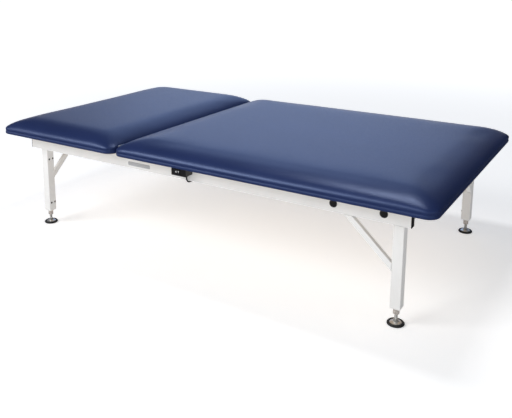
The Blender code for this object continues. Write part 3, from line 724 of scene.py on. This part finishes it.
def bead(mesh_bm, start, end, face_a, face_b, size=0.0030):
    """Weld bead along the line where two faces with these normals meet.

    It tapers at both ends, and has ripples 2.1 mm apart.
    """
    start, end = Vector(start), Vector(end)
    face_a, face_b = Vector(face_a).normalized(), Vector(face_b).normalized()
    steps = max(4, round((end - start).length / 0.0021))
    rings = []
    for step in range(steps + 1):
        share = step / steps
        taper = min(1.0, 0.35 + 6 * min(share, 1 - share))
        reach = size * taper * (1 + 0.13 * (1 if step % 2 else -1))
        corner = start.lerp(end, share)
        offsets = ((face_a + face_b) * -0.0004, face_a * reach,
                   (face_a * 0.80 + face_b * 0.42) * reach,
                   (face_a * 0.42 + face_b * 0.80) * reach, face_b * reach)
        rings.append([mesh_bm.verts.new(corner + offset) for offset in offsets])
    skin(mesh_bm, rings)


def tube(mesh_bm, points, radius, sides):
    points = [Vector(point) for point in points]
    angles = [2 * math.pi * j / sides for j in range(sides)]
    circle = [Vector((radius * math.cos(angle), radius * math.sin(angle), 0)) for angle in angles]
    rings = []
    for k, point in enumerate(points):
        along = points[min(k + 1, len(points) - 1)] - points[max(k - 1, 0)]
        matrix = axis_frame(point, along)
        rings.append([mesh_bm.verts.new(matrix @ spot) for spot in circle])
    skin(mesh_bm, rings)


def raised_plate(mesh_bm, low, high, level, outward, thickness, edge, corner, upright=False):
    """Thin plate with round corners and a soft edge, on a level face or an upright front face."""
    (a0, b0), (a1, b1) = low, high
    rings = []
    for inset, lift in ((0.0, 0.0), (0.0, 0.55 * thickness), (0.35 * edge, 0.88 * thickness),
                        (edge, thickness)):
        ring = []
        radius = max(corner - inset, 0.0003)
        pull = inset + radius
        depth = level + outward * lift
        centres = ((a1 - pull, b1 - pull), (a0 + pull, b1 - pull),
                   (a0 + pull, b0 + pull), (a1 - pull, b0 + pull))
        for quarter, (centre_a, centre_b) in enumerate(centres):
            for step in range(5):
                angle = math.pi / 2 * (quarter + step / 4)
                a, b = centre_a + radius * math.cos(angle), centre_b + radius * math.sin(angle)
                ring.append(mesh_bm.verts.new((a, depth, b) if upright else (a, b, depth)))
        rings.append(ring)
    skin(mesh_bm, rings)


def make_leg_screws(look):
    """Two pairs of button screws on the face of each leg that looks along the table."""
    mesh_bm = bmesh.new()
    for leg, inward_x, inward_y in (("leg_front_head", 1, 1), ("leg_rear_head", 1, -1),
                                    ("leg_front_foot", -1, 1), ("leg_rear_foot", -1, -1)):
        low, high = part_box(leg)
        face = high.x if inward_x > 0 else low.x
        outer = low.y if inward_y > 0 else high.y
        for height in (0.1065, 0.331):
            for reach in (0.0105, 0.0325):
                place = (face, outer + inward_y * reach, height)
                screw_head(mesh_bm, place, (inward_x, 0, 0), 0.0046)
    link_piece("leg_screws", mesh_bm, look["screw"], "frame")


def weld_brace(mesh_bm, name, along, axis):
    """Beads over and under both ends of a brace, which leans along x (axis 0) or y (axis 1)."""
    low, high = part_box(name)
    along, down = Vector(along), Vector((0, 0, -1))
    leg_face = high[axis] if along[axis] < 0 else low[axis]
    under = (along * BRACE_UNDERSIDE[0] + down * BRACE_UNDERSIDE[1]).normalized()
    near, far = BRACE_TOP_REACHES
    lower, upper = BRACE_FOOT_HEIGHTS
    other = 1 - axis
    for distance, height, face, side in ((0.0, lower, along, under), (0.0, upper, along, -under),
                                         (far, BRACE_TOP_HEIGHT, down, under),
                                         (near, BRACE_TOP_HEIGHT, down, -under)):
        ends = []
        for depth in (low[other] + 0.0015, high[other] - 0.0015):
            point = Vector((0, 0, height))
            point[axis] = leg_face + along[axis] * distance
            point[other] = depth
            ends.append(point)
        bead(mesh_bm, *ends, face, side)


def make_welds(look):
    """Beads at the braces, where the legs meet the long rails, and round the cross members."""
    mesh_bm = bmesh.new()
    down = (0, 0, -1)
    weld_brace(mesh_bm, "brace_front_foot", (-1, 0, 0), 0)
    weld_brace(mesh_bm, "brace_rear_head", (1, 0, 0), 0)
    weld_brace(mesh_bm, "brace_front_head", (0, 1, 0), 1)
    weld_brace(mesh_bm, "brace_rear_foot", (0, -1, 0), 1)
    for name in ("leg_front_head", "leg_rear_head", "leg_front_foot", "leg_rear_foot"):
        low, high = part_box(name)
        rail_low, rail_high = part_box("side_rail_front" if low.y < 0 else "side_rail_rear")
        for face, normal in ((low.x, (-1, 0, 0)), (high.x, (1, 0, 0))):
            start = (face, rail_low.y + 0.002, rail_low.z)
            bead(mesh_bm, start, (face, rail_high.y - 0.002, rail_low.z), normal, down, 0.0022)
    for name in ("cross_member_hinge", "cross_member_foot"):
        low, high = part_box(name)
        for end, normal_y in ((low.y, 1), (high.y, -1)):
            for face, normal_x in ((low.x, -1), (high.x, 1)):
                bead(mesh_bm, (face, end, low.z + 0.003), (face, end, high.z - 0.003),
                     (normal_x, 0, 0), (0, normal_y, 0))
            bead(mesh_bm, (low.x + 0.003, end, low.z), (high.x - 0.003, end, low.z), down,
                 (0, normal_y, 0))
    link_piece("weld_beads", mesh_bm, look["white"], "frame", 60)


def make_blank_plate(look):
    """Plain plate on the front rail, between (x, z) and (x, z)."""
    low, high = (-0.322, 0.3935), (-0.198, 0.4110)
    mesh_bm = bmesh.new()
    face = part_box("side_rail_front")[0].y
    raised_plate(mesh_bm, low, high, face, -1, 0.0009, 0.0008, 0.004, upright=True)
    link_piece("blank_plate", mesh_bm, look["plate"], "frame")


def make_rocker_marks(look):
    """An up and a down triangle on the two sloping halves of the rocker."""
    mesh_bm = bmesh.new()
    low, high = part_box("switch_rocker")
    middle_x, middle_z = (low.x + high.x) / 2, (low.z + high.z) / 2
    dip = 0.0023
    slope = dip / ((high.x - low.x) / 2)
    triangle = ((-0.0038, -0.0036), (0.0038, -0.0036), (0.0, 0.0040))
    for side, upward in ((-1, 1), (1, -1)):
        centre = middle_x + side * 0.0062
        rings = []
        for lift in (-0.0002, 0.0002):
            ring = []
            for px, pz in triangle:
                x = centre + px * upward
                y = low.y + dip - slope * abs(x - middle_x) - lift
                ring.append(mesh_bm.verts.new((x, y, middle_z + pz * upward)))
            rings.append(ring)
        skin(mesh_bm, rings)
    link_piece("rocker_marks", mesh_bm, look["mark"], "rocker")


def make_hinge_screws(look):
    """Nine flat screws along each leaf of the hinge."""
    offset, height, spacing = 0.0027, 0.4632, 0.13
    for name, body, normal in (("hinge_screws_fixed", "frame", -1),
                               ("hinge_screws_moving", "backrest", 1)):
        mesh_bm = bmesh.new()
        face = HINGE_X - normal * offset
        for k in range(9):
            place = (face, spacing * (k - 4), height)
            screw_head(mesh_bm, place, (normal, 0, 0), 0.0034, 0.0008)
        link_piece(name, mesh_bm, look["zinc"], body)


def staple(mesh_bm, place, along):
    """Wire staple driven up through the fold of the cover."""
    place, along = Vector(place), Vector(along)
    shape = ((-0.0050, 0.0010), (-0.0050, 0.0), (-0.0044, -0.0004),
             (0.0044, -0.0004), (0.0050, 0.0), (0.0050, 0.0010))
    tube(mesh_bm, [place + along * out + Vector((0, 0, up)) for out, up in shape], 0.00045, 5)


def make_staples(look):
    """Staples along both sides and the far end of each cover."""
    for name, node, body, hinge_side in (("cover_staples_head", "cushion_head", "backrest", 1),
                                         ("cover_staples_foot", "cushion_foot", "frame", -1)):
        low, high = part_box(node)
        mesh_bm = bmesh.new()
        span = high.x - low.x - 2 * STAPLE_MARGIN
        count = round(span / STAPLE_SPACING)
        for k in range(count + 1):
            x = low.x + STAPLE_MARGIN + span * k / count
            for side in (-1, 1):
                drift = noise.noise(Vector((x * 31, side * 7.0, 0.0)))
                y = side * (high.y - STAPLE_INSET) + STAPLE_WANDER * drift
                turn = Vector((1, STAPLE_TURN * drift, 0)).normalized()
                staple(mesh_bm, (x, y, STAPLE_HEIGHT), turn)
        edge = low.x + STAPLE_INSET if hinge_side > 0 else high.x - STAPLE_INSET
        for k in range(END_STAPLES):
            y = -END_STAPLE_SPAN / 2 + END_STAPLE_SPAN * k / (END_STAPLES - 1)
            x = edge + STAPLE_WANDER * noise.noise(Vector((3.0, y * 31, 5.0)))
            staple(mesh_bm, (x, y, STAPLE_HEIGHT), (0, 1, 0))
        link_piece(name, mesh_bm, look["staple"], body, 60)


def make_box_lid(look):
    """Lid under the control box, and its four screws."""
    low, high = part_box("control_box")
    margin, screw_margin, thickness = 0.004, 0.013, 0.0022
    mesh_bm = bmesh.new()
    raised_plate(mesh_bm, (low.x + margin, low.y + margin), (high.x - margin, high.y - margin),
                 low.z, -1, thickness, 0.0015, 0.006)
    link_piece("control_box_lid", mesh_bm, look["grey"], "frame")
    mesh_bm = bmesh.new()
    for x in (low.x + screw_margin, high.x - screw_margin):
        for y in (low.y + screw_margin, high.y - screw_margin):
            screw_head(mesh_bm, (x, y, low.z - thickness), (0, 0, -1), 0.0036, 0.0018)
    link_piece("control_box_screws", mesh_bm, look["screw"], "frame")


def make_lead_fittings(look):
    """Glands where both leads enter the control box, and the sleeve under the switch."""
    box_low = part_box("control_box")[0]
    switch_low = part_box("switch_housing")[0]
    gland = ((0, 0.0), (0.0088, 0.0), (0.0092, 0.0008), (0.0092, 0.0050), (0.0086, 0.0060),
             (0.0068, 0.0062), (0.0066, 0.0110), (0.0056, 0.0150), (0.0045, 0.0230),
             (0.0036, 0.0235), (0, 0.0235))
    nut_rings = (1, 2, 3, 4)
    mesh_bm = bmesh.new()
    x, z = SWITCH_LEAD_ENTRY
    lathe(mesh_bm, (x, box_low.y, z), (0, -1, 0), gland, 24, nut_rings)
    lathe(mesh_bm, (box_low.x, *MOTOR_LEAD_ENTRY), (-1, 0, 0), gland, 24, nut_rings)
    link_piece("lead_glands", mesh_bm, look["black"], "frame")
    mesh_bm = bmesh.new()
    sleeve = ((0, 0.0), (0.0064, 0.0), (0.0064, 0.0020), (0.0054, 0.0030), (0.0054, 0.0050),
              (0.0049, 0.0055), (0.0049, 0.0075), (0.0044, 0.0080), (0.0041, 0.0120), (0, 0.0122))
    lathe(mesh_bm, (*SWITCH_LEAD_EXIT, switch_low.z + 0.0004), (0, 0, -1), sleeve, 20)
    link_piece("switch_lead_sleeve", mesh_bm, look["black"], "frame")


def make_lift_details(look):
    """Wiper ring at the mouth of the lift's tube, and the motor's three screws."""
    tube_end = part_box("actuator_tube")[0].x
    length = (tube_end - LIFT_PIVOT[0]) / LIFT_AXIS[0]
    mouth = Vector(LIFT_PIVOT) + Vector(LIFT_AXIS) * (length - 0.0008)
    wiper = ((0.0103, 0.0), (0.0162, 0.0), (0.0165, 0.0006), (0.0160, 0.0030), (0.0135, 0.0048),
             (0.0108, 0.0052), (0.0103, 0.0046), (0.0103, 0.0))
    mesh_bm = bmesh.new()
    lathe(mesh_bm, mouth, LIFT_AXIS, wiper, 32)
    link_piece("rod_wiper", mesh_bm, look["black"], "actuator")
    mesh_bm = bmesh.new()
    low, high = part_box("actuator_motor")
    middle, circle = (low.z + high.z) / 2, 0.0195
    for turn in (30, 150, 270):
        angle = math.radians(turn)
        place = (low.x, circle * math.cos(angle), middle + circle * math.sin(angle))
        screw_head(mesh_bm, place, (-1, 0, 0), 0.0032, 0.0018)
    link_piece("motor_screws", mesh_bm, look["screw"], "actuator")


def make_deck_bolts(look):
    """Bolts up through the arms into the lifting deck, and through the cross members."""
    mesh_bm = bmesh.new()
    for name in ("backrest_arm_front", "backrest_arm_rear"):
        low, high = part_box(name)
        for x in (-0.405, -0.530, -0.655, -0.800):
            screw_head(mesh_bm, (x, (low.y + high.y) / 2, low.z), (0, 0, -1), 0.0052, 0.0030)
    link_piece("arm_bolts", mesh_bm, look["zinc"], "backrest")
    mesh_bm = bmesh.new()
    for name in ("cross_member_hinge", "cross_member_foot"):
        low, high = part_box(name)
        for y in (-0.38, -0.13, 0.13, 0.38):
            screw_head(mesh_bm, ((low.x + high.x) / 2, y, low.z), (0, 0, -1), 0.0050, 0.0028)
    link_piece("deck_screws", mesh_bm, look["zinc"], "frame")


def make_hardware(look):
    make_leg_screws(look)
    make_welds(look)
    make_blank_plate(look)
    make_rocker_marks(look)
    make_hinge_screws(look)
    make_staples(look)
    make_box_lid(look)
    make_lead_fittings(look)
    make_lift_details(look)
    make_deck_bolts(look)


# ---------------------------------------------------------------- studio

def area_light(name, place, target, size, power):
    data = bpy.data.lights.new(name, "AREA")
    data.shape = "RECTANGLE"
    data.size, data.size_y = size
    data.energy = power
    item = bpy.data.objects.new(name, data)
    item.location = place
    direction = Vector(target) - Vector(place)
    item.rotation_euler = direction.to_track_quat("-Z", "Y").to_euler()
    bpy.context.scene.collection.objects.link(item)
    item.visible_camera = False


def make_world():
    """Pale room: white round the horizon, a cool glow behind on the left, dim above and behind.

    Each part of the sky is a share of the direction, laid over the one before.
    """
    world = bpy.data.worlds.new("studio")
    bpy.context.scene.world = world
    world.use_nodes = True
    nodes, links = world.node_tree.nodes, world.node_tree.links
    direction = nodes.new("ShaderNodeTexCoord")
    split = nodes.new("ShaderNodeSeparateXYZ")
    links.new(direction.outputs["Generated"], split.inputs["Vector"])
    side, depth, height = split.outputs["X"], split.outputs["Y"], split.outputs["Z"]
    # Mid grey on the camera's side, nearly black elsewhere
    front = smooth_range(nodes, links, depth, -0.80, -0.35, 1.0, 0.0)
    colour = mix_colour(nodes, links, front, (0.055, 0.060, 0.075), (0.50, 0.50, 0.50))
    # Mid grey on the right
    rightward = smooth_range(nodes, links, side, 0.35, 0.75, 0.0, 1.0)
    nearer = smooth_range(nodes, links, depth, 0.0, 0.45, 1.0, 0.0)
    right = math_node(nodes, links, "MULTIPLY", rightward, nearer)
    colour = mix_colour(nodes, links, right, colour, (0.52, 0.52, 0.52))
    # Cool glow behind on the left, bounded by bearing and fading upwards
    turned = math_node(nodes, links, "MULTIPLY", depth, -1.0)
    bearing = math_node(nodes, links, "ARCTAN2", side, turned)
    left = smooth_range(nodes, links, side, -0.36, 0.04, 1.0, 0.0)
    behind = smooth_range(nodes, links, bearing, -2.50, -2.18, 1.0, 0.0)
    glow = math_node(nodes, links, "MULTIPLY", left, behind)
    above = smooth_range(nodes, links, height, 0.20, 0.80, 1.0, 0.16)
    glow = math_node(nodes, links, "MULTIPLY", glow, above)
    colour = mix_colour(nodes, links, glow, colour, (0.76, 1.00, 1.52))
    # White round the horizon, which is the backdrop
    rim = smooth_range(nodes, links, height, 0.095, 0.14, 1.0, 0.0)
    colour = mix_colour(nodes, links, rim, colour, (1.05, 1.05, 1.05))
    links.new(colour, nodes["Background"].inputs["Color"])
    nodes["Background"].inputs["Strength"].default_value = 1.0


def studio_panel(name, points, faces, colour):
    """Matt sheet that belongs to the studio; returns the sheet and its material's parts."""
    mesh = bpy.data.meshes.new(name)
    mesh.from_pydata(points, [], faces)
    material, nodes, links, shader = new_material(name)
    shader.inputs["Base Color"].default_value = (*colour, 1.0)
    shader.inputs["Roughness"].default_value = 0.9
    shader.inputs["Specular IOR Level"].default_value = 0.1
    mesh.materials.append(material)
    item = bpy.data.objects.new(name, mesh)
    bpy.context.scene.collection.objects.link(item)
    return item, nodes, links, shader


def make_floor():
    """Pale floor that glows a little more further away, where the lamps reach it less."""
    reach, level = 40.0, -0.0005
    corners = [(x * reach, y * reach, level) for x, y in ((-1, -1), (1, -1), (1, 1), (-1, 1))]
    nodes, links, shader = studio_panel("floor", corners, [(0, 1, 2, 3)], (0.86, 0.86, 0.86))[1:]
    place = nodes.new("ShaderNodeTexCoord")
    length = add_node(nodes, "ShaderNodeVectorMath", operation="LENGTH")
    links.new(place.outputs["Object"], length.inputs[0])
    glow = smooth_range(nodes, links, length.outputs["Value"], 1.5, 7.0, 0.47, 0.90)
    shader.inputs["Emission Color"].default_value = (0.985, 1.0, 1.015, 1.0)
    links.new(glow, shader.inputs["Emission Strength"])


def make_flags():
    """Dark cloths that only reflections see, as a photographer sets round glossy vinyl.

    One lies on the floor, one stands along the front, one along the right, and one behind on
    the right.
    """
    reach, front_top, rear_y, rear_top, rear_x = 9.0, 1.6, 1.2, 3.5, 1.06
    points = [(-reach, -reach, 0.0), (reach, -reach, 0.0), (reach, reach, 0.0),
              (-reach, reach, 0.0), (-reach, -reach, front_top), (reach, -reach, front_top),
              (reach, rear_y, rear_top), (rear_x, rear_y, 0.0), (reach, rear_y, 0.0),
              (rear_x, rear_y, rear_top)]
    faces = [(0, 1, 2, 3), (0, 4, 5, 1), (1, 5, 6, 8), (7, 8, 6, 9)]
    flag = studio_panel("dark_cloths", points, faces, (0.02, 0.02, 0.02))[0]
    flag.visible_camera = False
    flag.visible_diffuse = False
    flag.visible_shadow = False


def make_studio():
    make_floor()
    make_flags()
    make_world()
    area_light("key", place=(-3.76, -5.67, 4.44), target=(0.0, -0.3, 0.5), size=(4.6, 3.5),
               power=355)
    area_light("overhead", place=(0.22, 0.15, 3.0), target=(0.22, 0.15, 0.5), size=(0.75, 0.45),
               power=23)


def make_camera():
    data = bpy.data.cameras.new("camera")
    camera = bpy.data.objects.new("camera", data)
    bpy.context.scene.collection.objects.link(camera)
    camera.location = CAMERA_PLACE
    camera.rotation_euler = (math.pi / 2 - CAMERA_PITCH, 0.0, -CAMERA_YAW)
    data.sensor_width = CAMERA_SENSOR
    data.lens = CAMERA_LENS
    data.shift_x = CAMERA_SHIFT_X
    data.shift_y = CAMERA_SHIFT_Y
    data.clip_start = 0.05
    data.clip_end = 100.0
    bpy.context.scene.camera = camera


def build():
    look = make_materials()
    paint_nodes(look)
    make_cushion("head_cushion", "cushion_head", "backrest", 1, look)
    make_cushion("foot_cushion", "cushion_foot", "frame", -1, look)
    make_hardware(look)
    make_studio()
    make_camera()
    bpy.context.scene.view_settings.view_transform = "Standard"


build()
